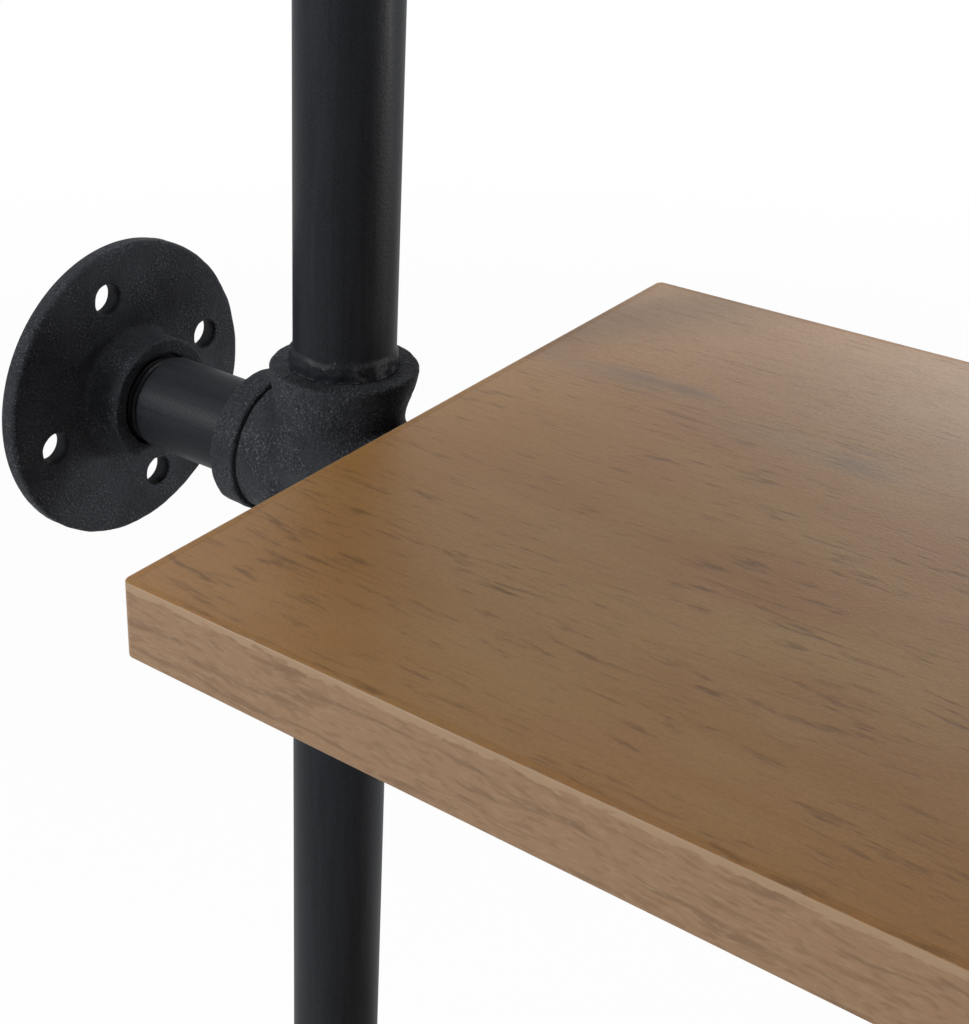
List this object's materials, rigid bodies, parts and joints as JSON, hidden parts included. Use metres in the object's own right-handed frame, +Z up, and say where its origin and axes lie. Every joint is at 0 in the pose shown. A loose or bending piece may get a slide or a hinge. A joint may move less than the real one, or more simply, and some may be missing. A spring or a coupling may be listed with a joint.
{
  "type": "pipe shelving unit",
  "caption": "Floor-standing shelf unit of black iron pipe with oak-look boards, its posts held to the side walls and floor by round flanges.",
  "frame": {"origin": "on the floor, under the middle of the unit", "axes": "+X along the boards, front edge towards -Y, +Z up"},
  "size_m": [0.8326, 0.22, 0.9305],
  "materials": {
    "cast_black": "rough orange-peel casting, satin black paint",
    "pipe_black": "smooth satin black paint with a fine speckle",
    "strap_black": "black coated sheet steel",
    "screw_black": "black oxide",
    "plug_black": "moulded matte black",
    "oak_board": "brown oak-look laminate with fine darker grain along the board, satin",
    "oak_edge": "greyer oak-look edge band, matte"
  },
  "bodies": {
    "root": {"left_floor_flange": "cast_black", "left_foot_pipe": "pipe_black", "left_lower_riser": "pipe_black", "left_upper_riser": "pipe_black", "left_top_stub": "pipe_black", "left_top_cap": "cast_black", "right_floor_flange": "cast_black", "right_foot_pipe": "pipe_black", "right_lower_riser": "pipe_black", "right_upper_riser": "pipe_black", "right_top_stub": "pipe_black", "right_top_cap": "cast_black", "left_lower_cross": "cast_black", "left_lower_wall_nipple": "pipe_black", "left_lower_wall_flange": "cast_black", "left_lower_arm": "pipe_black", "left_lower_arm_plug": "plug_black", "left_lower_pipe_straps": "strap_black", "left_middle_cross": "cast_black", "left_middle_wall_nipple": "pipe_black", "left_middle_wall_flange": "cast_black", "left_middle_arm": "pipe_black", "left_middle_arm_plug": "plug_black", "left_middle_pipe_straps": "strap_black", "left_upper_cross": "cast_black", "left_upper_wall_nipple": "pipe_black", "left_upper_wall_flange": "cast_black", "left_upper_arm": "pipe_black", "left_upper_arm_plug": "plug_black", "left_upper_pipe_straps": "strap_black", "right_lower_cross": "cast_black", "right_lower_wall_nipple": "pipe_black", "right_lower_wall_flange": "cast_black", "right_lower_arm": "pipe_black", "right_lower_arm_plug": "plug_black", "right_lower_pipe_straps": "strap_black", "right_middle_cross": "cast_black", "right_middle_wall_nipple": "pipe_black", "right_middle_wall_flange": "cast_black", "right_middle_arm": "pipe_black", "right_middle_arm_plug": "plug_black", "right_middle_pipe_straps": "strap_black", "right_upper_cross": "cast_black", "right_upper_wall_nipple": "pipe_black", "right_upper_wall_flange": "cast_black", "right_upper_arm": "pipe_black", "right_upper_arm_plug": "plug_black", "right_upper_pipe_straps": "strap_black", "lower_strap_screws": "screw_black", "lower_board": "oak_board", "lower_edge_bands": "oak_edge", "middle_strap_screws": "screw_black", "middle_board": "oak_board", "middle_edge_bands": "oak_edge", "upper_strap_screws": "screw_black", "upper_board": "oak_board", "upper_edge_bands": "oak_edge"}
  },
  "joints": []
}
